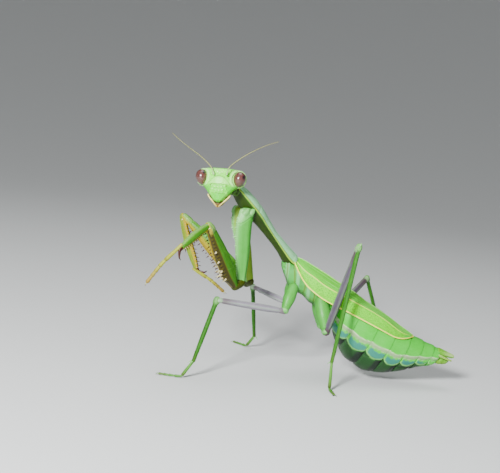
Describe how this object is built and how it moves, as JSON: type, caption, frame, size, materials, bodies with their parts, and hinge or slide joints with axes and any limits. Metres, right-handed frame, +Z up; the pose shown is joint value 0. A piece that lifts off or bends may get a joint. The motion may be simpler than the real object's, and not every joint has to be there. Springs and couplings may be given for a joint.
{
  "type": "praying mantis",
  "caption": "Life-size praying mantis, an adult female with short green wings and a deep abdomen, standing with its head turned and its spined forelegs folded up in front.",
  "frame": {"origin": "middle of the bounding box at floor level, under the front of the abdomen", "axes": "+Z up, +Y towards the tail, -Y towards the head, +X towards the insect's left side"},
  "size_m": [0.0492, 0.0545, 0.0413],
  "materials": {
    "face_green": "waxy, pale yellow-green",
    "body_green": "waxy, blue-green",
    "eye_mauve": "smooth and glossy, mauve",
    "feeler": "dull, pale olive",
    "mouth_cream": "satin, cream",
    "wing_green": "leathery, finely netted, yellow-green",
    "abdomen_green": "soft satin, green with blue-green flanks",
    "tail_yellow": "satin, yellow-green",
    "coxa_green": "waxy, pale green",
    "raptor_green": "waxy, mid green with an olive inner face",
    "thigh_mauve": "dull, grey-mauve",
    "shin_green": "dull, mid green",
    "foot_olive": "dull, yellow-olive",
    "claw_red": "glossy, dark red"
  },
  "bodies": {
    "root": {"abdomen": "abdomen_green", "antenna_left": "feeler", "antenna_right": "feeler", "cercus_left": "tail_yellow", "cercus_right": "tail_yellow", "coxa_hind_left": "coxa_green", "coxa_hind_right": "coxa_green", "coxa_middle_left": "coxa_green", "coxa_middle_right": "coxa_green", "eye_left": "eye_mauve", "eye_right": "eye_mauve", "femur_hind_left": "thigh_mauve", "femur_hind_right": "thigh_mauve", "femur_middle_left": "thigh_mauve", "femur_middle_right": "thigh_mauve", "foot_hind_left": "foot_olive", "foot_hind_right": "foot_olive", "foot_middle_left": "foot_olive", "foot_middle_right": "foot_olive", "fore_claw_left": "claw_red", "fore_claw_right": "claw_red", "fore_coxa_left": "coxa_green", "fore_coxa_right": "coxa_green", "fore_femur_left": "raptor_green", "fore_femur_right": "raptor_green", "fore_tarsus_left": "foot_olive", "fore_tarsus_right": "foot_olive", "fore_tibia_left": "raptor_green", "fore_tibia_right": "raptor_green", "fore_trochanter_left": "coxa_green", "fore_trochanter_right": "coxa_green", "forewing_left": "wing_green", "forewing_right": "wing_green", "head": "face_green", "instep_hind_left": "foot_olive", "instep_hind_right": "foot_olive", "instep_middle_left": "foot_olive", "instep_middle_right": "foot_olive", "mesothorax": "body_green", "metathorax": "body_green", "mouthparts": "mouth_cream", "neck": "body_green", "ovipositor": "tail_yellow", "prothorax": "body_green", "tail_plate": "tail_yellow", "tibia_hind_left": "shin_green", "tibia_hind_right": "shin_green", "tibia_middle_left": "shin_green", "tibia_middle_right": "shin_green"}
  },
  "joints": []
}
